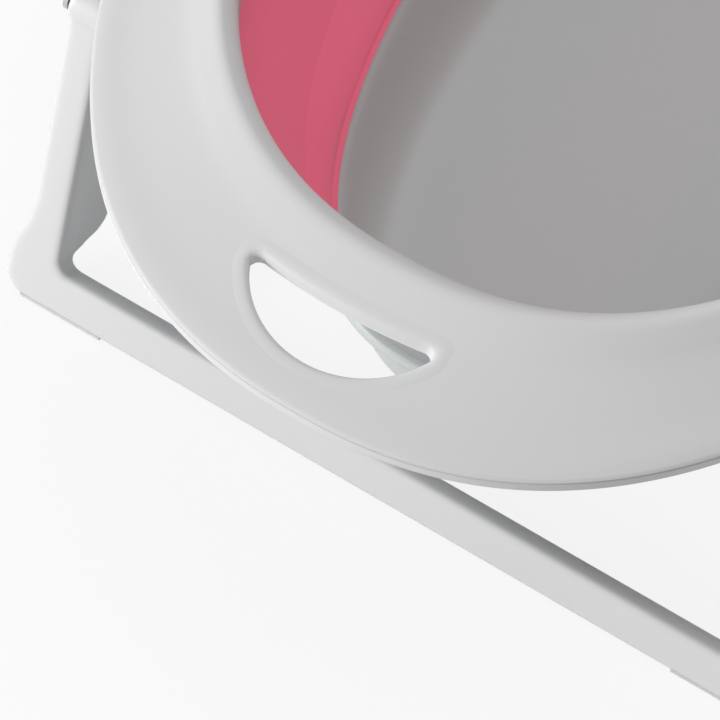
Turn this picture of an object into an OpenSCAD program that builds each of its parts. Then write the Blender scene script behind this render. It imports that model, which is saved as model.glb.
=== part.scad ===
/* [View] */
// Which node to draw

/* [Rim] */
// Overall length of the rim
rim_len = 820; // [600:1:1000]
// Overall width of the rim
rim_w = 490; // [380:1:640]
// Squareness of the oval, 2 is an ellipse
rim_n = 2.3; // [2:0.05:3]
// Height of the underside of the rim lip above the floor
lip_z = 190; // [150:1:260]
// Width of the rim at its two ends
rim_end_w = 90; // [60:1:120]
// Width of the rim at its long sides
rim_side_w = 49; // [45:1:90]
// Rise of the rim crown above the lip underside
crown_h = 22.5; // [14:0.5:36]
// Plastic thickness of the rim
rim_t = 3; // [2:0.1:5]

/* [Handle slots] */
// Radius of the curved outer edge of each slot
slot_r = 53; // [40:0.5:70]
// Distance from the rim end to the outer edge of the slot
slot_in = 22; // [14:0.5:34]
// Width of the slot across the rim
slot_d = 33; // [24:0.5:44]
// Sideways offset of each slot from the middle, on its left as seen from that end
slot_x = 9; // [0:0.5:10]
// Bow of the slot's inner edge, which runs beside the basin
slot_bow = 3; // [0:0.5:6]
// Wall thickness of the rolled bead round the slot
bead_t = 4; // [2:0.5:8]

/* [Folding wall] */
// Height of the hard collar under the crown
collar_h = 24; // [14:0.5:40]
// Drop of the soft wall when the bath is open
wall_h = 72; // [60:1:110]
// Thickness of the soft wall
wall_t = 3; // [2:0.1:5]
// How far the wall runs in towards the middle at the sides
wall_in_side = 70; // [50:1:84]
// How far the wall runs in towards the middle at the ends
wall_in_end = 20; // [15:1:60]

/* [Tray] */
// Depth of the hard tray
tray_h = 74; // [50:1:80]
// Thickness of the tray
tray_t = 3; // [2:0.1:5]

/* [Drain] */
// Radius of the drain opening
drain_r = 17; // [12:0.5:24]
// Running gap between pieces that slide on each other
run_gap = 0.05; // [0.02:0.01:0.1]
// Distance from the middle to the drain
drain_y = 185; // [120:1:220]

/* [Legs] */
// Lean of the open leg from upright
lean = 18; // [6:0.5:20]
// Half width of the leg frame
leg_half = 221; // [160:1:230]
// Width of an upright seen from the end
leg_w = 20; // [14:0.5:30]
// Depth of an upright at the hinge
leg_depth = 36; // [24:0.5:50]
// Height of the crossbar
bar_h = 26; // [18:0.5:36]
// Depth of the crossbar
bar_d = 12; // [8:0.5:20]
// Thickness of the rubber pads under the crossbar
pad_t = 2.5; // [1.5:0.1:5]
// From the end of the rim to the hinge line of the leg frame
pivot_end = 140; // [110:1:170]
// Radius of the hinge pin
pin_r = 4; // [3:0.1:6]
// Distance of the hinge axis below the rim lip
pivot_drop = 12; // [8:0.5:20]

/* [Hidden] */
ha = rim_len / 2;
hb = rim_w / 2;
seg = 80;
crown_z = lip_z + crown_h;
collar_top = lip_z + 2;
collar_z = collar_top - collar_h;
wall_z = collar_z - wall_h;
tray_z = wall_z - tray_h;
pivot_z = lip_z - pivot_drop;
pivot_y = ha - pivot_end;
leg_len = (pivot_z - pad_t + 7 * sin(lean)) / cos(lean);
soft_gap = 0.3;
flat_gap = 0.1;
slot_top = -ha + slot_in + slot_d;
slot_c = -ha + slot_in + slot_r;
slot_a = 27;
grey = [0.84, 0.84, 0.84];
light = [0.8, 0.8, 0.79];
pink = [0.78, 0.37, 0.45];
dark = [0.45, 0.46, 0.47];
pad_grey = [0.8, 0.8, 0.81];
steel = [0.7, 0.7, 0.71];

// One point of the oval, a along the length and b across it
function oval(a, b, k) = let (c = cos(k), s = sin(k))
  [b * sign(s) * pow(abs(s), 2 / rim_n), a * sign(c) * pow(abs(c), 2 / rim_n)];
// Section point: t runs 0 to 1 across the rim, d is a plain inward distance
function ring_pt(p, k) = let (q = oval(ha - p[0] * rim_end_w - p[2], hb - p[0] * rim_side_w - p[2], k))
  [q[0], q[1], p[1]];
// Section point given by its half length and half width
function ab_pt(p, k) = let (q = oval(p[0], p[1], k)) [q[0], q[1], p[2]];

// Closed section swept round the oval
module swept(pts, m) {
  polyhedron(points = pts, faces = [for (i = [0 : seg - 1]) for (j = [0 : m - 1]) for (h = [0, 1])
    let (a = i * m + j, b = i * m + (j + 1) % m, c = ((i + 1) % seg) * m + j,
      d = ((i + 1) % seg) * m + (j + 1) % m)
    h == 0 ? [a, b, d] : [a, d, c]], convexity = 6);
}
module ring(sec) {
  swept([for (i = [0 : seg - 1]) for (p = sec) ring_pt(p, -i * 360 / seg)], len(sec));
}
module ring_ab(sec) {
  swept([for (i = [0 : seg - 1]) for (p = sec) ab_pt(p, -i * 360 / seg)], len(sec));
}
// Open cup: the section runs from the outer floor edge up, over and down to the inner floor edge
module cup(sec) {
  m = len(sec);
  polyhedron(points = [for (i = [0 : seg - 1]) for (p = sec) ab_pt(p, -i * 360 / seg)],
    faces = concat([for (i = [0 : seg - 1]) for (j = [0 : m - 2]) for (h = [0, 1])
      let (a = i * m + j, b = i * m + j + 1, c = ((i + 1) % seg) * m + j, d = ((i + 1) % seg) * m + j + 1)
      h == 0 ? [a, b, d] : [a, d, c]],
      [[for (i = [0 : seg - 1]) i * m]], [[for (i = [seg - 1 : -1 : 0]) i * m + m - 1]]), convexity = 6);
}

// Crescent outline of a handle slot, grown by g
module slot2d(g) {
  r = slot_r + g;
  y1 = slot_top + g;
  x1 = r * cos(slot_a);
  inner = [for (i = [0 : 8]) let (u = 1 - i / 4) [u * (x1 - 5), y1 - slot_bow * (1 - u * u)]];
  translate([-slot_x, 0]) polygon(concat([for (k = [180 + slot_a : 7 : 361 - slot_a]) [r * cos(k), slot_c + r * sin(k)]],
    [[x1 - 0.7, y1 - 2.4], [x1 - 2.4, y1 - 0.7]], inner, [[-x1 + 2.4, y1 - 0.7], [-x1 + 0.7, y1 - 2.4]]));
}
module slot_bead() {
  intersection() {
    translate([0, 0, lip_z - 5]) linear_extrude(40) difference() {
      slot2d(bead_t);
      slot2d(0);
    }
    translate([0, -ha + slot_in + slot_d / 2, lip_z + 8.5]) rotate([10.5, 0, 0]) cube([160, 90, 10], center = true);
  }
}
module rim_shell() {
  t = rim_t;
  ring([[0, lip_z, 0], [0, lip_z + 5.5, 0], [0, lip_z + 7.2, 1.4], [0.1, lip_z + 8.6, 0], [0.3, lip_z + 11, 0],
    [0.6, lip_z + 16, 0], [0.75, lip_z + 19.8, 0], [0.86, crown_z, 0], [0.93, crown_z - 1.2, 0],
    [0.98, crown_z - 5.5, 0], [1, crown_z - 12, 0], [1, collar_top, 0], [1, collar_top, -t],
    [1, crown_z - 12.5, -t], [0.95, crown_z - 7.8, 0], [0.92, crown_z - t - 1, 0], [0.86, crown_z - t, 0],
    [0.76, lip_z + 20 - t, 0], [0.6, lip_z + 16 - t, 0], [0.3, lip_z + 11 - t, 0], [0.1, lip_z + 8.6 - t, 0],
    [0, lip_z + 4.6, t], [0, lip_z, t]]);
}
module rim() {
  color(grey) difference() {
    union() {
      difference() {
        rim_shell();
        for (s = [0, 180]) rotate([0, 0, s]) translate([0, 0, lip_z - 10]) linear_extrude(50) slot2d(bead_t - 1);
      }
      for (s = [0, 180]) rotate([0, 0, s]) slot_bead();
    }
    for (s = [0, 180]) rotate([0, 0, s]) translate([0, 0, lip_z - 10]) linear_extrude(50) slot2d(0);
  }
}
// Hard ring under the crown that clamps the top edge of the wall
module collar() {
  color(light) ring([[1, collar_z, 0], [1, collar_top, 0], [1, collar_top, -rim_t], [1, collar_z + 8, -rim_t],
    [1, collar_z + 8, -rim_t - 4], [1, collar_z, -rim_t - 4]]);
}
ia = ha - rim_end_w;
ib = hb - rim_side_w;
ta = ia - wall_in_end;
tb = ib - wall_in_side;
module wall() {
  g = flat_gap;
  color(pink) ring_ab([[ia + 6, ib + 6, collar_z - g], [ia + 1, ib + 1, collar_z - g],
    [ia - 2, ib - 3, collar_z - 0.2 * wall_h], [ia - 0.35 * wall_in_end, ib - 0.4 * wall_in_side, collar_z - 0.5 * wall_h],
    [ia - 0.75 * wall_in_end, ib - 0.78 * wall_in_side, collar_z - 0.82 * wall_h], [ta, tb, wall_z + 3 + g],
    [ta + 6, tb + 6, wall_z + 3 + g], [ta + 5, tb + 5, collar_z - 0.86 * wall_h],
    [ia - 0.35 * wall_in_end + wall_t, ib - 0.4 * wall_in_side + wall_t, collar_z - 0.54 * wall_h],
    [ia - 2 + wall_t, ib - 3 + wall_t, collar_z - 0.24 * wall_h], [ia + 6, ib + 6, collar_z - 0.06 * wall_h]]);
}
// Ring that joins the soft wall to the tray
module tray_ring() {
  color(light) ring_ab([[ta, tb, wall_z], [ta, tb, wall_z + 3], [ta + 8, tb + 8, wall_z + 3],
    [ta + 10, tb + 10, wall_z + 1], [ta + 10, tb + 10, wall_z - 4], [ta + 7.1, tb + 7.1, wall_z - 4],
    [ta + 7.1, tb + 7.1, wall_z]]);
}
module tray() {
  t = tray_t;
  color(light) difference() {
    cup([[ta - 34, tb - 27, tray_z], [ta - 22, tb - 18, tray_z + 3], [ta - 12, tb - 10, tray_z + 0.19 * tray_h],
      [ta - 5, tb - 4, tray_z + 0.5 * tray_h], [ta, tb + 1, tray_z + 0.85 * tray_h], [ta + 7, tb + 7, wall_z - 4],
      [ta + 7, tb + 7, wall_z], [ta, tb, wall_z], [ta - t, tb - t, wall_z - 0.11 * tray_h],
      [ta - 5 - t, tb - 4 - t, tray_z + 0.51 * tray_h], [ta - 12 - t, tb - 10 - t, tray_z + 0.22 * tray_h],
      [ta - 24, tb - 20, tray_z + 3 + t], [ta - 36, tb - 29, tray_z + t]]);
    translate([0, drain_y, tray_z - 1]) cylinder(h = 20, r = drain_r + 5 + flat_gap, $fn = 64);
    for (k = [0 : 2]) translate([0, drain_y, tray_z - 1]) rotate([0, 0, 120 * k + 30]) translate([drain_r + 11, 0, 0])
      cylinder(h = 20, r = 1.7, $fn = 32);
  }
}
// Threaded style drain insert with a flange above the tray floor
module drain_seat() {
  color(light) translate([0, drain_y, 0]) difference() {
    union() {
      translate([0, 0, tray_z - 4]) cylinder(h = 4 + tray_t, r = drain_r + 5, $fn = 64);
      translate([0, 0, tray_z - 4]) cylinder(h = 4, r = drain_r + 15, $fn = 64);
    }
    translate([0, 0, tray_z - 5]) cylinder(h = 20, r = drain_r, $fn = 64);
    for (k = [0 : 2]) rotate([0, 0, 120 * k + 30]) translate([drain_r + 11, 0, tray_z - 5])
      cylinder(h = 9, r = 1.7, $fn = 32);
  }
}
module drain_screws() {
  color(steel) translate([0, drain_y, 0]) for (k = [0 : 2]) rotate([0, 0, 120 * k + 30]) translate([drain_r + 11, 0, 0]) {
    translate([0, 0, tray_z - 6]) cylinder(h = 2, r = 3.2, $fn = 32);
    translate([0, 0, tray_z - 4.5]) cylinder(h = 4.5 + tray_t, r = 1.65, $fn = 32);
  }
}
module plug() {
  color(pink) translate([0, drain_y, 0]) union() {
    translate([0, 0, tray_z - 3]) cylinder(h = 3 + tray_t + 0.1, r = drain_r - 2.6, $fn = 64);
    translate([0, 0, tray_z + tray_t + 0.1]) cylinder(h = 3, r = drain_r + 7, $fn = 64);
    translate([0, 0, tray_z + tray_t + 3]) cylinder(h = 2.5, r = 5, $fn = 48);
  }
}
module plug_seal() {
  color(dark) translate([0, drain_y, tray_z - 1.5]) difference() {
    cylinder(h = 4, r = drain_r - 0.3, $fn = 64);
    translate([0, 0, -1]) cylinder(h = 6, r = drain_r - 2.6, $fn = 64);
  }
}
// Pull ring standing on the plug
module plug_pull() {
  color(pink) translate([0, drain_y, tray_z + tray_t + 5.5 + 7.9]) rotate([90, 0, 0])
    rotate_extrude($fn = 48) translate([6.4, 0]) circle(r = 1.6, $fn = 24);
}

// Leg in its own frame: hinge axis at the origin, hanging straight down
module leg_outline() {
  o = leg_half - 7;
  i = o - leg_w;
  z = -leg_len;
  right = concat([[o, 9], [o, z + 66], [o + 1, z + 56], [o + 3.5, z + 46], [o + 6.5, z + 38], [o + 8.2, z + 31], [o + 9, z + 24],
    [o + 9, z + 12]], [for (k = [15 : 15 : 90]) [o - 3 + 12 * cos(k), z + 12 - 12 * sin(k)]]);
  inside = concat([[-i, 9]], [[-i, z + bar_h + 8]], [for (k = [22.5 : 22.5 : 90]) [-i + 8 - 8 * cos(k), z + bar_h + 8 - 8 * sin(k)]]);
  polygon(concat(right, [for (n = [len(right) - 1 : -1 : 0]) [-right[n][0], right[n][1]]], inside,
    [for (n = [len(inside) - 1 : -1 : 0]) [-inside[n][0], inside[n][1]]]));
}
// Deep side web of an upright, seen from the side
module leg_web() {
  z = -leg_len + bar_h;
  polygon([[9, -5], [9, 4], [-6, 9], [-36, leg_depth - 13], [-60, leg_depth - 9], [z + 26, leg_depth - 9],
    [z + 15, leg_depth - 10], [z + 9, leg_depth - 12], [z + 6.5, leg_depth - 16], [z - 1, 4], [z - 6, 2], [z - 6, -5]]);
}
module leg() {
  difference() {
    union() {
      translate([0, bar_d / 2, 0]) rotate([90, 0, 0]) linear_extrude(bar_d) leg_outline();
      for (s = [0, 1]) mirror([s, 0, 0]) {
        translate([-leg_half + 7 + leg_w, 0, 0]) rotate([0, -90, 0]) linear_extrude(leg_w - 1) leg_web();
        translate([-leg_half + 8, 0, 0]) rotate([0, 90, 0]) cylinder(h = leg_half - 8 - cheek_x - cheek_t - 0.5, r = pin_r + 6, $fn = 64);
      }
    }
    for (s = [0, 1]) mirror([s, 0, 0]) translate([-leg_half - 10, 0, 0]) rotate([0, 90, 0])
      cylinder(h = leg_half, r = pin_r + run_gap, $fn = 48);
  }
}
// Flat underside of the crossbar, level with the tops of the rubber pads
module floor_cut() {
  translate([-leg_half - 30, -ha, pad_t - 40]) cube([2 * leg_half + 60, ha, 40]);
}
module at_near() {
  translate([0, -pivot_y, pivot_z]) rotate([-lean, 0, 0]) children();
}
module leg_near() {
  color(grey) difference() {
    at_near() leg();
    floor_cut();
  }
}
module leg_far() {
  color(grey) rotate([0, 0, 180]) difference() {
    at_near() leg();
    floor_cut();
  }
}
bar_y = -pivot_y - (pivot_z - pad_t) * tan(lean);
module foot(s) {
  translate([s * (leg_half - 32) - 24, bar_y - bar_d / 2 + 1, 0]) cube([48, bar_d - 2, pad_t]);
}
module foot_near_left() {
  color(pad_grey) foot(-1);
}
module foot_near_right() {
  color(pad_grey) foot(1);
}
module foot_far_left() {
  color(pad_grey) rotate([0, 0, 180]) foot(1);
}
module foot_far_right() {
  color(pad_grey) rotate([0, 0, 180]) foot(-1);
}
// Half the width of the rim at a distance y from the middle
function rim_half_at(y) = hb * pow(1 - pow(y / ha, rim_n), 1 / rim_n);
// Where a point lies across the band of the rim: 0 at the lip, 1 at the inner edge
function band_t(x, y, lo = 0, hi = 1, k = 0) = let (t = (lo + hi) / 2)
  k > 14 ? t : pow(x / (hb - t * rim_side_w), rim_n) + pow(y / (ha - t * rim_end_w), rim_n) < 1
    ? band_t(x, y, t, hi, k + 1) : band_t(x, y, lo, t, k + 1);
// Height of the underside of the rim at that place
function under_z(t) = lip_z - rim_t + lookup(t, [[0, 7.6], [0.1, 8.6], [0.3, 11], [0.6, 16], [0.76, 20]]);
cheek_t = 5;
cheek_x = min(leg_half - leg_w - 15.5, rim_half_at(pivot_y + 14) - rim_t - 12 - cheek_t);
br_top = under_z(band_t(cheek_x + cheek_t, pivot_y + 14)) - soft_gap;
// Moulded bracket under the rim, with a cheek that holds the hinge pin
module bracket(s) {
  x0 = cheek_x;
  mirror([s < 0 ? 1 : 0, 0, 0]) translate([0, -pivot_y, 0]) difference() {
    union() {
      translate([x0 - 14, -14, pivot_z + 15]) cube([19, 40, br_top - pivot_z - 15]);
      translate([x0, -14, pivot_z]) cube([5, 28, br_top - pivot_z]);
      translate([x0, 0, pivot_z]) rotate([0, 90, 0]) cylinder(h = 5, r = 14, $fn = 64);
    }
    translate([x0 - 1, 0, pivot_z]) rotate([0, 90, 0]) cylinder(h = 9, r = pin_r, $fn = 48);
    for (y = [-6, 18]) translate([x0 - 8, y, pivot_z]) cylinder(h = 60, r = 1.7, $fn = 32);
  }
}
module bracket_near_left() {
  color(light) bracket(-1);
}
module bracket_near_right() {
  color(light) bracket(1);
}
module bracket_far_left() {
  color(light) rotate([0, 0, 180]) bracket(1);
}
module bracket_far_right() {
  color(light) rotate([0, 0, 180]) bracket(-1);
}
module bracket_screws() {
  x0 = cheek_x;
  color(steel) for (r = [0, 180]) rotate([0, 0, r]) for (s = [0, 1]) mirror([s, 0, 0]) for (y = [-6, 18])
    translate([x0 - 8, -pivot_y + y, 0]) {
      translate([0, 0, pivot_z + 13]) cylinder(h = 2, r = 3.2, $fn = 32);
      translate([0, 0, pivot_z + 14]) cylinder(h = br_top - pivot_z - 14, r = 1.65, $fn = 32);
    }
}
module pin(s) {
  x0 = cheek_x;
  color(steel) mirror([s < 0 ? 1 : 0, 0, 0]) translate([0, -pivot_y, pivot_z]) rotate([0, 90, 0]) union() {
    translate([0, 0, x0]) cylinder(h = leg_half - 6 - x0, r = pin_r, $fn = 48);
    translate([0, 0, leg_half - 6.5]) cylinder(h = 2.5, r = pin_r + 3, $fn = 48);
  }
}
module pin_near_left() {
  pin(-1);
}
module pin_near_right() {
  pin(1);
}
module pin_far_left() {
  rotate([0, 0, 180]) pin(1);
}
module pin_far_right() {
  rotate([0, 0, 180]) pin(-1);
}

rim();
collar();
wall();
tray();
tray_ring();
drain_seat();
drain_screws();
plug();
plug_seal();
plug_pull();
leg_near();
leg_far();
bracket_near_left();
bracket_near_right();
bracket_far_left();
bracket_far_right();
pin_near_left();
pin_near_right();
pin_far_left();
pin_far_right();
bracket_screws();
foot_near_left();
foot_near_right();
foot_far_left();
foot_far_right();
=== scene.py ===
import math

import bmesh
import bpy
from mathutils import Matrix, Vector


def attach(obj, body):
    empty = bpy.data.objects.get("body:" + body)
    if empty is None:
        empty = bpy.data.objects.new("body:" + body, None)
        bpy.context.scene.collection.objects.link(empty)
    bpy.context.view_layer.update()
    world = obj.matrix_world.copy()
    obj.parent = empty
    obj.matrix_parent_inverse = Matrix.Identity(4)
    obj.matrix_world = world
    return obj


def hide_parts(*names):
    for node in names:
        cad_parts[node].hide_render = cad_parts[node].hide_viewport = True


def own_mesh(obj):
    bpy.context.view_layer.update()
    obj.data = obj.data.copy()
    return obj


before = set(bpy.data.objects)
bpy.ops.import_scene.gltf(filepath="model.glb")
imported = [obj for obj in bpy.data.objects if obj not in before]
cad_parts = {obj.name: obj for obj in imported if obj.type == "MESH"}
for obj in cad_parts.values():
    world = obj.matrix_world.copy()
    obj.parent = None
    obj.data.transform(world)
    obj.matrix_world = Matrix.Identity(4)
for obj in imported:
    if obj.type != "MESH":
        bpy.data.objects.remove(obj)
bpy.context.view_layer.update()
scene = bpy.context.scene
scene.view_settings.view_transform = "Standard"


# ---------------------------------------------------------------- Camera
# A long lens looks steeply down on the near end of the bath, from its right,
# so that one carry slot, one crossbar and the corner of the basin fill the frame.
CAM_AZ, CAM_EL, CAM_ROLL = 30.91, 58.56, 2.57
CAM_DIST, CAM_FOCAL_PX = 1.7145, 3908.6
CAM_AIM = Vector((0.0084, -0.3688, 0.19))


def add_camera():
    az, el, roll = (math.radians(v) for v in (CAM_AZ, CAM_EL, CAM_ROLL))
    back = Vector((math.sin(az) * math.cos(el), -math.cos(az) * math.cos(el), math.sin(el)))
    flat = Vector((math.cos(az), math.sin(az), 0))
    up = back.cross(flat)
    right = flat * math.cos(roll) + up * math.sin(roll)
    up = up * math.cos(roll) - flat * math.sin(roll)
    data = bpy.data.cameras.new("camera")
    data.sensor_width = 36
    data.lens = CAM_FOCAL_PX * 36 / 720
    data.clip_start, data.clip_end = 0.05, 50
    cam = bpy.data.objects.new("camera", data)
    scene.collection.objects.link(cam)
    cam.matrix_world = Matrix.Translation(CAM_AIM + back * CAM_DIST) @ Matrix((right, up, back)).transposed().to_4x4()
    scene.camera = cam


add_camera()


# ---------------------------------------------------------------- Floor and light
# A pale seamless floor that reads white to the camera, and soft lamps: a large one
# low on the left of the near end, a weak one above and a dim even sky.
class Sock:
    """A shader socket whose arithmetic adds Math nodes."""

    def __init__(self, tree, socket):
        self.tree, self.socket = tree, socket

    def _math(self, op, a, b=None):
        n = self.tree.nodes.new("ShaderNodeMath")
        n.operation = op
        for i, v in enumerate((a, b)):
            if isinstance(v, Sock):
                self.tree.links.new(v.socket, n.inputs[i])
            elif v is not None:
                n.inputs[i].default_value = v
        return Sock(self.tree, n.outputs[0])

    def __add__(self, o):
        return self._math("ADD", self, o)

    def __sub__(self, o):
        return self._math("SUBTRACT", self, o)

    def __rsub__(self, o):
        return self._math("SUBTRACT", o, self)

    def __mul__(self, o):
        return self._math("MULTIPLY", self, o)

    def above(self, o):
        return self._math("GREATER_THAN", self, o)

    def power(self, o):
        return self._math("POWER", self, o)

    def clipped(self):
        r = self._math("ADD", self, 0.0)
        r.socket.node.use_clamp = True
        return r

    __radd__, __rmul__ = __add__, __mul__


class Look:
    """A material under construction, with one way to add any node."""

    def __init__(self, name):
        self.mat = bpy.data.materials.new(name)
        self.mat.use_nodes = True
        self.tree = self.mat.node_tree
        self.tree.nodes.clear()
        self.out = self.tree.nodes.new("ShaderNodeOutputMaterial")

    def node(self, kind, settings=None, out=0, **values):
        n = self.tree.nodes.new("ShaderNode" + kind)
        for key, value in (settings or {}).items():
            if key == "stops":
                while len(n.color_ramp.elements) < len(value):
                    n.color_ramp.elements.new(0.5)
                for e, (pos, col) in zip(n.color_ramp.elements, value):
                    e.position, e.color = pos, col
            else:
                setattr(n, key, value)
        for key, value in values.items():
            sock = n.inputs[int(key[1:])] if key[0] == "_" else n.inputs[key.replace("_", " ")]
            if isinstance(value, Sock):
                self.tree.links.new(value.socket, sock)
            else:
                sock.default_value = value
        return Sock(self.tree, n.outputs[out])

    def mix(self, mask, a, b):
        return self.node("Mix", {"data_type": "RGBA"}, out=2, _0=mask, _6=a, _7=b)

    def finish(self, shader):
        self.tree.links.new(shader.socket, self.out.inputs["Surface"])
        return self.mat


def white_floor():
    look = Look("pale_floor")
    path = look.tree.nodes.new("ShaderNodeLightPath")
    shade = look.node("BsdfDiffuse", Color=(0.8, 0.8, 0.8, 1))
    white = look.node("Emission", Color=(1, 1, 1, 1), Strength=1.0)
    seen = Sock(look.tree, path.outputs["Is Camera Ray"])
    glossy = Sock(look.tree, path.outputs["Is Glossy Ray"])
    mask = (seen + glossy).clipped() * 0.86
    mixed = look.node("MixShader", _0=mask, _1=shade, _2=white)
    return look.finish(mixed)


def add_floor():
    bpy.ops.object.select_all(action="DESELECT")
    bpy.ops.mesh.primitive_plane_add(size=30, location=(0, 0, -0.0005))
    floor = bpy.context.object
    floor.name = "floor"
    bpy.ops.object.transform_apply(location=True)
    floor.data.materials.append(white_floor())


def add_light(name, place, aim, size, power, shade=1.0):
    data = bpy.data.lights.new(name, "AREA")
    data.shape, data.size, data.energy = "DISK", size, power
    data.color = (1, shade, shade)
    lamp = bpy.data.objects.new(name, data)
    scene.collection.objects.link(lamp)
    lamp.location = place
    lamp.rotation_mode = "QUATERNION"
    lamp.rotation_quaternion = (Vector(aim) - Vector(place)).to_track_quat("-Z", "Y")


add_floor()
add_light("key", (-2.6, -2.6, 1.0), (0, -0.2, 0.1), 1.2, 116)
add_light("top", (0.1, 0.9, 2.8), (0, 0, 0.1), 3.4, 34)
world = bpy.data.worlds.new("sky")
scene.world = world
world.use_nodes = True
world.node_tree.nodes["Background"].inputs["Color"].default_value = (1, 1, 1, 1)
world.node_tree.nodes["Background"].inputs["Strength"].default_value = 0.4


# ---------------------------------------------------------------- Moulded rim
# One injection moulding in pale grey plastic with a fine spark-eroded skin. Its lip
# turns down at the edge, and a rolled bead runs round each carry slot.
A, B, N = 0.410, 0.245, 2.3
END_W, SIDE_W, RIM_T = 0.090, 0.049, 0.003
LIP_Z, CROWN_H = 0.190, 0.0225
COLLAR_TOP = LIP_Z + 0.002
COLLAR_Z = COLLAR_TOP - 0.024
RING_STEPS = 256


def oval(a, b, k):
    c, s = math.cos(k), math.sin(k)
    return (b * math.copysign(abs(s) ** (2 / N), s), a * math.copysign(abs(c) ** (2 / N), c))


def plastic(name, color, rough, grain=0.00018, speck=0.012, edge=None):
    """Moulded plastic: a fine grain in the skin, faint flow clouds and scuffed patches."""
    look = Look(name)
    at = look.node("TexCoord", out=3)
    cloud = look.node("TexNoise", {"noise_dimensions": "3D"}, Vector=at, Scale=9.0, Detail=3.0, Roughness=0.5)
    fine = look.node("TexNoise", {"noise_dimensions": "3D"}, Vector=at, Scale=1700.0, Detail=2.0, Roughness=0.6)
    dark = tuple(c * (1 - speck * 2.2) for c in color[:3]) + (1,)
    light = tuple(min(1, c * (1 + speck)) for c in color[:3]) + (1,)
    tint = look.mix(cloud, dark, light)
    bump = look.node("Bump", Strength=0.22, Distance=grain, Height=fine + cloud * 0.6)
    wear = (cloud - 0.5) * 0.16 + (fine - 0.5) * 0.05 + rough
    shader = look.node("BsdfPrincipled", Base_Color=tint, Roughness=wear, Normal=bump, Specular_IOR_Level=0.42)
    return look.finish(shader)


RIM_GREY = (0.64, 0.64, 0.647, 1)
rim_plastic = plastic("rim_plastic", RIM_GREY, 0.5)


def ring_mesh(name, section, steps=RING_STEPS, closed=True):
    """Sweeps a section of (t, z, d) or (a, b, z, 'ab') points round the oval, from a grid."""
    bpy.ops.object.select_all(action="DESELECT")
    cols = len(section) if closed else len(section) - 1
    bpy.ops.mesh.primitive_grid_add(x_subdivisions=cols, y_subdivisions=steps, size=1)
    piece = bpy.context.object
    piece.name = name
    places = []
    for i in range(steps + 1):
        k = 2 * math.pi * (i % steps) / steps
        for j in range(cols + 1):
            p = section[j % len(section)]
            if len(p) == 4:
                x, y = oval(p[0], p[1], k)
                z = p[2]
            else:
                x, y = oval(A - p[0] * END_W - p[2], B - p[0] * SIDE_W - p[2], k)
                z = p[1]
            places += (x, y, z)
    piece.data.vertices.foreach_set("co", places)
    tidy_mesh(piece)
    return piece


def tidy_mesh(piece):
    """Welds the seam and turns the faces outwards."""
    only(piece)
    bpy.ops.object.mode_set(mode="EDIT")
    bpy.ops.mesh.select_all(action="SELECT")
    bpy.ops.mesh.remove_doubles(threshold=0.00001)
    bpy.ops.mesh.normals_make_consistent(inside=False)
    bpy.ops.object.mode_set(mode="OBJECT")


def prism(name, outline, low, high, place=lambda x, y, z: (x, y, z)):
    """A flat outline drawn with a filled circle, then extruded and laid in place."""
    bpy.ops.object.select_all(action="DESELECT")
    bpy.ops.mesh.primitive_circle_add(vertices=len(outline), fill_type="NGON")
    piece = bpy.context.object
    piece.name = name
    piece.data.vertices.foreach_set("co", [v for x, y in outline for v in (x, y, low)])
    bpy.ops.object.mode_set(mode="EDIT")
    bpy.ops.mesh.select_all(action="SELECT")
    bpy.ops.mesh.extrude_region_move(TRANSFORM_OT_translate={"value": (0, 0, high - low)})
    bpy.ops.object.mode_set(mode="OBJECT")
    for v in piece.data.vertices:
        v.co = place(*v.co)
    tidy_mesh(piece)
    return piece


def smooth_path(points, per=6):
    """A finer open run of points through the given ones, rounded by a Catmull-Rom curve."""
    out = []
    pts = [Vector(p) for p in points]
    for i in range(len(pts) - 1):
        p0, p1, p2 = pts[max(i - 1, 0)], pts[i], pts[i + 1]
        p3 = pts[min(i + 2, len(pts) - 1)]
        for s in range(per):
            t = s / per
            out.append(0.5 * ((2 * p1) + (p2 - p0) * t + (2 * p0 - 5 * p1 + 4 * p2 - p3) * t * t
                              + (3 * p1 - p0 - 3 * p2 + p3) * t ** 3))
    out.append(pts[-1])
    return [tuple(p) for p in out]


def only(piece):
    bpy.ops.object.select_all(action="DESELECT")
    piece.select_set(True)
    bpy.context.view_layer.objects.active = piece


def apply_modifiers(piece):
    only(piece)
    for m in list(piece.modifiers):
        bpy.ops.object.modifier_apply(modifier=m.name)


def shade(piece, degrees=35):
    only(piece)
    bpy.ops.object.shade_smooth_by_angle(angle=math.radians(degrees))


def dress(piece, material, body):
    piece.data.materials.clear()
    piece.data.materials.append(material)
    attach(piece, body)
    return piece


SLOT_R, SLOT_IN, SLOT_D, SLOT_CUT = 0.053, 0.022, 0.033, math.radians(27)
SLOT_X, SLOT_BOW = 0.009, 0.003


def slot_outline(grow, count=30):
    """The crescent outline of a carry slot, as a run of (x, y) points."""
    r = SLOT_R + grow
    yc = -A + SLOT_IN + SLOT_R
    y1 = -A + SLOT_IN + SLOT_D + grow
    x1 = r * math.cos(SLOT_CUT)
    pts = []
    for i in range(count + 1):
        k = math.pi + SLOT_CUT + (math.pi - 2 * SLOT_CUT) * i / count
        pts.append((r * math.cos(k), yc + r * math.sin(k)))
    corner = [(0.0000, 0.0036), (0.0007, 0.0024), (0.0014, 0.0014), (0.0024, 0.0007), (0.0037, 0.0002)]
    pts += [(x1 - dx, y1 - dy) for dx, dy in corner]
    for i in range(25):
        u = 1 - i / 12
        pts.append((u * (x1 - 0.005), y1 - SLOT_BOW * (1 - u * u)))
    pts += [(-x1 + dx, y1 - dy) for dx, dy in reversed(corner)]
    return [(x - SLOT_X, y) for x, y in pts]


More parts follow.
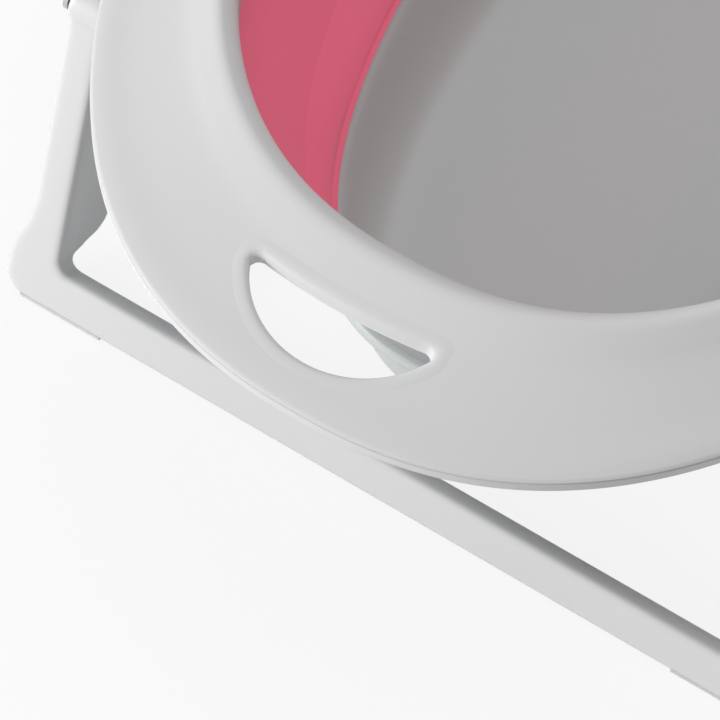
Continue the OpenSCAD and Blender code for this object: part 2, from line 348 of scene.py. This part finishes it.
TOP_SECTION = smooth_path([(0.0, LIP_Z + 0.0072, 0.0014), (0.1, LIP_Z + 0.0086, 0), (0.3, LIP_Z + 0.011, 0),
                           (0.6, LIP_Z + 0.016, 0), (0.75, LIP_Z + 0.0198, 0), (0.86, LIP_Z + CROWN_H, 0),
                           (0.93, LIP_Z + 0.0213, 0), (0.98, LIP_Z + 0.017, 0), (1, LIP_Z + 0.0105, 0),
                           (1, COLLAR_TOP, 0)], 5)
UNDER_SECTION = [(1, COLLAR_TOP, -RIM_T), (1, LIP_Z + 0.010, -RIM_T), (0.95, LIP_Z + 0.0147, 0),
                 (0.92, LIP_Z + 0.0185, 0), (0.86, LIP_Z + CROWN_H - RIM_T, 0), (0.76, LIP_Z + 0.017, 0),
                 (0.6, LIP_Z + 0.013, 0), (0.3, LIP_Z + 0.008, 0), (0.1, LIP_Z + 0.0056, 0),
                 (0, LIP_Z + 0.0046, RIM_T), (0, LIP_Z, RIM_T)]
LIP_SECTION = [(0, LIP_Z, 0.0004), (0, LIP_Z + 0.0004, 0), (0, LIP_Z + 0.0048, 0), (0, LIP_Z + 0.0052, 0.0004),
               (0, LIP_Z + 0.0053, 0.0009), (0, LIP_Z + 0.0057, 0.0009), (0, LIP_Z + 0.0058, 0.0003),
               (0, LIP_Z + 0.0064, 0.0004)]


def rim_height(x, y):
    """Height of the rim's top surface at a place on its end, from the swept section."""
    best = None
    for t, z, d in TOP_SECTION:
        a, b = A - t * END_W - d, B - t * SIDE_W - d
        f = (abs(x) / b) ** N + (abs(y) / a) ** N
        if best is None or abs(f - 1) < best[0]:
            best = (abs(f - 1), z)
    return best[1]


def cut_slots(piece, grow):
    for sign in (1, -1):
        tool = prism("slot_cut", [(sign * x, sign * y) for x, y in slot_outline(grow)], LIP_Z - 0.03, LIP_Z + 0.05)
        m = piece.modifiers.new("slot", "BOOLEAN")
        m.operation, m.object, m.solver = "DIFFERENCE", tool, "EXACT"
        apply_modifiers(piece)
        bpy.data.objects.remove(tool)


def slot_bead(sign):
    """The rolled bead: a rounded wall that follows the slot and stands a little proud of the skirt."""
    section = [(0.0, -0.0066), (0.0, -0.0034), (0.0002, -0.0016), (0.0008, -0.0007), (0.0018, -0.0001), (0.003, 0.0001),
               (0.0044, 0.0002), (0.006, 0.0001), (0.0075, 0.0), (0.0092, -0.0002), (0.0092, -0.0028),
               (0.0034, -0.0035), (0.0026, -0.0066)]
    bm = bmesh.new()
    rows = []
    for grow, rise in section:
        row = []
        for x, y in slot_outline(grow, 48):
            x0, y0 = x, y
            z = rim_smooth(x0, y0)
            row.append(bm.verts.new((sign * x, sign * y, z + rise)))
        rows.append(row)
    n, m = len(rows[0]), len(rows)
    for j in range(m):
        for i in range(n):
            bm.faces.new((rows[j][i], rows[j][(i + 1) % n], rows[(j + 1) % m][(i + 1) % n], rows[(j + 1) % m][i]))
    bmesh.ops.recalc_face_normals(bm, faces=bm.faces)
    me = bpy.data.meshes.new("slot_bead")
    bm.to_mesh(me)
    bm.free()
    piece = bpy.data.objects.new("slot_bead_near" if sign > 0 else "slot_bead_far", me)
    scene.collection.objects.link(piece)
    shade(piece, 60)
    return piece


def rim_smooth(x, y):
    """Rim top height between the section's points, by linear steps between its ovals."""
    prev = None
    for t, z, d in TOP_SECTION:
        a, b = A - t * END_W - d, B - t * SIDE_W - d
        f = (abs(x) / b) ** N + (abs(y) / a) ** N
        if f >= 1 and prev is not None:
            pf, pz = prev
            return pz + (z - pz) * (1 - pf) / (f - pf)
        prev = (f, z)
    return prev[1]


rim = ring_mesh("rim_shell", LIP_SECTION + TOP_SECTION + UNDER_SECTION)
cut_slots(rim, 0.004)
shade(rim, 40)
dress(rim, rim_plastic, "frame")
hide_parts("rim")
for side in (1, -1):
    dress(slot_bead(side), rim_plastic, "frame")


# ---------------------------------------------------------------- Collar
# The hard ring pressed up under the crown. It traps the top edge of the soft wall,
# and is moulded in the same plastic as the tray. Its darker grey is painted shade under the crown.
TRAY_GREY = (0.52, 0.55, 0.545, 1)
tray_plastic = plastic("tray_plastic", TRAY_GREY, 0.46)
collar = ring_mesh("collar_ring", [(1, COLLAR_Z + 0.0006, 0), (1, COLLAR_Z + 0.004, 0.0002), (1, COLLAR_TOP - 0.0016, 0.0002),
                                   (1, COLLAR_TOP - 0.0004, -0.0008), (1, COLLAR_TOP, -RIM_T), (1, COLLAR_Z + 0.008, -RIM_T),
                                   (1, COLLAR_Z + 0.008, -0.007), (1, COLLAR_Z, -0.007), (1, COLLAR_Z, -0.0006)])
shade(collar, 40)
# The collar's grey is set darker than the tray grey: painted shade under the crown.
dress(collar, plastic("collar_plastic_painted_shade", (0.42, 0.425, 0.43, 1), 0.42), "frame")
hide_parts("collar")


# ---------------------------------------------------------------- Soft folding wall
# Pink thermoplastic rubber, moulded on to the collar and the tray. It has a thick
# bead at each edge and one soft hinge line, and rolls flat as the tray is pushed up.
WALL_H, WALL_T, IN_SIDE, IN_END = 0.072, 0.003, 0.070, 0.020
WALL_Z = COLLAR_Z - WALL_H
IA, IB = A - END_W, B - SIDE_W
TA, TB = IA - IN_END, IB - IN_SIDE


def soft_pink(name="soft_pink", grey_outside_painted_shade=False):
    look = Look(name)
    at = look.node("TexCoord", out=3)
    cloud = look.node("TexNoise", Vector=at, Scale=7.0, Detail=2.0, Roughness=0.5)
    fine = look.node("TexNoise", Vector=at, Scale=900.0, Detail=2.0, Roughness=0.55)
    tint = look.mix(cloud, (0.88, 0.155, 0.255, 1), (0.94, 0.17, 0.275, 1))
    # Faces turned outward, under the rim, get a dark grey in place of the pink: the grey of the body there, darkened as
    # painted shade.
    if grey_outside_painted_shade:
        normal = look.node("TexCoord", out=1)
        flat = look.node("VectorMath", {"operation": "MULTIPLY"}, _0=at, _1=(1, 1, 0))
        outward = look.node("VectorMath", {"operation": "DOT_PRODUCT"}, out=1, _0=flat, _1=normal)
        tint = look.mix(outward.above(0.0), tint, (0.3, 0.305, 0.31, 1))
    bump = look.node("Bump", Strength=0.25, Distance=0.0002, Height=fine)
    shader = look.node("BsdfPrincipled", Base_Color=tint, Roughness=(cloud - 0.5) * 0.1 + 0.52, Normal=bump,
                       Specular_IOR_Level=0.35, Sheen_Weight=0.15, Sheen_Roughness=0.5)
    return look.finish(shader)


def wall_section():
    inner = smooth_path([(IA + 0.001, IB + 0.001, COLLAR_Z - 0.0001), (IA - 0.002, IB - 0.003, COLLAR_Z - 0.2 * WALL_H),
                         (IA - 0.35 * IN_END, IB - 0.4 * IN_SIDE, COLLAR_Z - 0.5 * WALL_H),
                         (IA - 0.75 * IN_END, IB - 0.78 * IN_SIDE, COLLAR_Z - 0.82 * WALL_H),
                         (TA, TB, WALL_Z + 0.0031)], 6)
    outer = smooth_path([(TA + 0.006, TB + 0.006, WALL_Z + 0.0031), (TA + 0.005, TB + 0.005, COLLAR_Z - 0.86 * WALL_H),
                         (IA - 0.35 * IN_END + WALL_T, IB - 0.4 * IN_SIDE + WALL_T, COLLAR_Z - 0.54 * WALL_H),
                         (IA - 0.002 + WALL_T, IB - 0.003 + WALL_T, COLLAR_Z - 0.24 * WALL_H),
                         (IA + 0.006, IB + 0.006, COLLAR_Z - 0.06 * WALL_H),
                         (IA + 0.006, IB + 0.006, COLLAR_Z - 0.0001)], 4)
    return [p + ("ab",) for p in inner + outer]


wall = ring_mesh("folding_wall", wall_section())
shade(wall, 50)
# The wall's outward faces take the dark grey painted shade.
dress(wall, soft_pink("soft_wall", True), "frame")
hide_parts("wall")
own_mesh(wall)


# ---------------------------------------------------------------- Tray and its ring
# The hard floor of the bath, one grey moulding whose side sweeps into the floor. A
# welded ring round its edge traps the lower edge of the soft wall.
TRAY_H, TRAY_T = 0.074, 0.003
TRAY_Z = WALL_Z - TRAY_H
DRAIN_Y, DRAIN_R = 0.185, 0.017


def tray_section():
    inner = smooth_path([(TA, TB, WALL_Z), (TA - TRAY_T, TB - TRAY_T, WALL_Z - 0.11 * TRAY_H),
                         (TA - 0.008, TB - 0.007, TRAY_Z + 0.51 * TRAY_H), (TA - 0.0145, TB - 0.0125, TRAY_Z + 0.25 * TRAY_H),
                         (TA - 0.024, TB - 0.020, TRAY_Z + 0.0066), (TA - 0.037, TB - 0.030, TRAY_Z + 0.0031),
                         (TA - 0.055, TB - 0.045, TRAY_Z + TRAY_T)], 6)
    outer = smooth_path([(TA - 0.055, TB - 0.045, TRAY_Z), (TA - 0.034, TB - 0.027, TRAY_Z + 0.0002),
                         (TA - 0.022, TB - 0.018, TRAY_Z + 0.003), (TA - 0.012, TB - 0.010, TRAY_Z + 0.19 * TRAY_H),
                         (TA - 0.005, TB - 0.004, TRAY_Z + 0.5 * TRAY_H), (TA, TB + 0.001, TRAY_Z + 0.85 * TRAY_H)], 5)
    outer += [(TA + 0.007, TB + 0.007, WALL_Z - 0.004), (TA + 0.007, TB + 0.007, WALL_Z)]
    ends = [(0.15, 0.06), (0.001, 0.001)]
    return ([p + ("ab",) for p in outer[::-1]] + [(a, b, TRAY_Z, "ab") for a, b in ends]
            + [(a, b, TRAY_Z + TRAY_T, "ab") for a, b in ends[::-1]] + [p + ("ab",) for p in inner[::-1]])


def cylinder_cut(piece, radius, place, depth):
    bpy.ops.object.select_all(action="DESELECT")
    bpy.ops.mesh.primitive_cylinder_add(vertices=96, radius=radius, depth=depth, location=place)
    tool = bpy.context.object
    m = piece.modifiers.new("hole", "BOOLEAN")
    m.operation, m.object, m.solver = "DIFFERENCE", tool, "EXACT"
    apply_modifiers(piece)
    bpy.data.objects.remove(tool)


tray = ring_mesh("tray_moulding", tray_section())
cylinder_cut(tray, DRAIN_R + 0.0051, (0, DRAIN_Y, TRAY_Z), 0.03)
shade(tray, 45)
dress(tray, tray_plastic, "tray_body")
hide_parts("tray")
ring = ring_mesh("tray_edge_ring", [(a, b, z, "ab") for a, b, z in (
    (TA, TB, WALL_Z + 0.0001), (TA - 0.0002, TB - 0.0002, WALL_Z + 0.0015), (TA + 0.0006, TB + 0.0006, WALL_Z + 0.0029),
    (TA + 0.008, TB + 0.008, WALL_Z + 0.003), (TA + 0.0096, TB + 0.0096, WALL_Z + 0.0018),
    (TA + 0.010, TB + 0.010, WALL_Z + 0.0006), (TA + 0.010, TB + 0.010, WALL_Z - 0.0034),
    (TA + 0.0096, TB + 0.0096, WALL_Z - 0.004), (TA + 0.0071, TB + 0.0071, WALL_Z - 0.004),
    (TA + 0.0071, TB + 0.0071, WALL_Z + 0.0001))])
shade(ring, 50)
dress(ring, tray_plastic, "tray_body")
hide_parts("tray_ring")


# ---------------------------------------------------------------- Drain, plug and screws
# A flanged insert screwed under the tray floor, with a pink push-in plug that has a
# rubber seal and a pull ring.
def set_look(material, *nodes):
    for node in nodes:
        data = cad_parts[node].data
        data.materials.clear()
        data.materials.append(material)


def rubber():
    look = Look("seal_rubber")
    at = look.node("TexCoord", out=3)
    fine = look.node("TexNoise", Vector=at, Scale=1200.0, Detail=2.0)
    tint = look.mix(fine, (0.06, 0.06, 0.062, 1), (0.1, 0.1, 0.104, 1))
    bump = look.node("Bump", Strength=0.3, Distance=0.0002, Height=fine)
    shader = look.node("BsdfPrincipled", Base_Color=tint, Roughness=(fine - 0.5) * 0.1 + 0.72, Normal=bump)
    return look.finish(shader)


def steel():
    look = Look("pin_steel")
    at = look.node("TexCoord", out=3)
    fine = look.node("TexNoise", Vector=at, Scale=700.0, Detail=3.0)
    tint = look.mix(fine, (0.5, 0.5, 0.51, 1), (0.66, 0.66, 0.67, 1))
    bump = look.node("Bump", Strength=0.15, Distance=0.0001, Height=fine)
    shader = look.node("BsdfPrincipled", Base_Color=tint, Metallic=1.0, Roughness=(fine - 0.5) * 0.2 + 0.32, Normal=bump)
    return look.finish(shader)


set_look(tray_plastic, "drain_seat")
set_look(soft_pink(), "plug", "plug_pull")
set_look(rubber(), "plug_seal")
set_look(steel(), "drain_screws", "bracket_screws", "pin_near_left", "pin_near_right", "pin_far_left", "pin_far_right")


# ---------------------------------------------------------------- Leg frames and brackets
# Each leg frame is one thick moulding with soft edges: two uprights with deep side
# webs, and a crossbar that stands on the floor. It turns on pins in the brackets.
LEAN = math.radians(18)
LEG_HALF, LEG_W, LEG_DEPTH, BAR_H, BAR_D, PAD_T = 0.221, 0.020, 0.036, 0.026, 0.012, 0.0025
PIVOT_Y, PIVOT_Z = 0.270, 0.178
CHEEK_X = B * (1 - ((PIVOT_Y + 0.014) / A) ** N) ** (1 / N) - RIM_T - 0.017
LEG_LEN = (PIVOT_Z - PAD_T + 0.007 * math.sin(LEAN)) / math.cos(LEAN)


def quarter(cx, cz, r, start, turn, steps=8):
    return [(cx + r * math.cos(start + turn * i / steps), cz + r * math.sin(start + turn * i / steps))
            for i in range(steps + 1)]


def leg_outline():
    o, z = LEG_HALF - 0.007, -LEG_LEN
    i = o - LEG_W
    right = [(o, 0.009), (o, z + 0.066), (o + 0.001, z + 0.056), (o + 0.0035, z + 0.046), (o + 0.0065, z + 0.038),
             (o + 0.0082, z + 0.031), (o + 0.009, z + 0.024)]
    right += quarter(o - 0.003, z + 0.012, 0.012, 0, -math.pi / 2)
    inside = [(-i, 0.009)] + quarter(-i + 0.008, z + BAR_H + 0.008, 0.008, math.pi, math.pi / 2)
    return right + [(-x, y) for x, y in reversed(right)] + inside + [(-x, y) for x, y in reversed(inside)]


def web_outline():
    z = -LEG_LEN + BAR_H
    d = LEG_DEPTH
    return [(0.009, -0.005), (0.009, 0.004), (-0.006, 0.009), (-0.036, d - 0.013), (-0.060, d - 0.009), (z + 0.060, d - 0.003), (z + 0.026, d + 0.003),
            (z + 0.012, d + 0.004), (z + 0.007, d + 0.001), (z + 0.004, d - 0.004), (z + 0.0015, 0.012), (z - 0.001, 0.004),
            (z - 0.006, 0.002), (z - 0.006, -0.005)]


def lean_out(x, y, z, sign):
    wy = y * math.cos(LEAN) + z * math.sin(LEAN) - PIVOT_Y
    wz = -y * math.sin(LEAN) + z * math.cos(LEAN) + PIVOT_Z
    return (sign * x, sign * wy, max(wz, PAD_T))


def leg_frame(name, sign):
    plate = prism(name, leg_outline(), -BAR_D / 2, BAR_D / 2, lambda x, y, z: (x, z, y))
    parts = [plate]
    for side in (1, -1):
        x0 = side * (LEG_HALF - 0.007 - LEG_W / 2)
        boss_in, boss_out = CHEEK_X + 0.0055, LEG_HALF - 0.008
        parts.append(prism("web", web_outline(), -(LEG_W - 0.001) / 2, (LEG_W - 0.001) / 2,
                           lambda x, y, z, x0=x0: (x0 + z, y, x)))
        bpy.ops.mesh.primitive_cylinder_add(vertices=64, radius=0.010, depth=boss_out - boss_in, rotation=(0, math.pi / 2, 0),
                                            location=(side * (boss_in + boss_out) / 2, 0, 0))
        boss = bpy.context.object
        bpy.ops.object.transform_apply(location=True, rotation=True)
        parts.append(boss)
    bpy.ops.object.select_all(action="DESELECT")
    for o in parts:
        o.select_set(True)
    bpy.context.view_layer.objects.active = plate
    bpy.ops.object.join()
    m = plate.modifiers.new("skin", "REMESH")
    m.mode, m.voxel_size, m.adaptivity = "VOXEL", 0.0016, 0
    m = plate.modifiers.new("soften", "SMOOTH")
    m.factor, m.iterations = 0.5, 14
    apply_modifiers(plate)
    for v in plate.data.vertices:
        v.co = lean_out(*v.co, sign)
    tidy_mesh(plate)
    bpy.ops.object.shade_smooth()
    return plate


for name, sign, node in (("leg_frame_near", 1, "leg_near"), ("leg_frame_far", -1, "leg_far")):
    piece = leg_frame(name, sign)
    dress(piece, rim_plastic, node + "_body")
    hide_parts(node)
pad_rubber = plastic("pad_rubber", (0.6, 0.6, 0.61, 1), 0.85, 0.0003, 0.02)
set_look(pad_rubber, "foot_near_left", "foot_near_right", "foot_far_left", "foot_far_right")
set_look(rim_plastic, "bracket_near_left", "bracket_near_right", "bracket_far_left", "bracket_far_right")
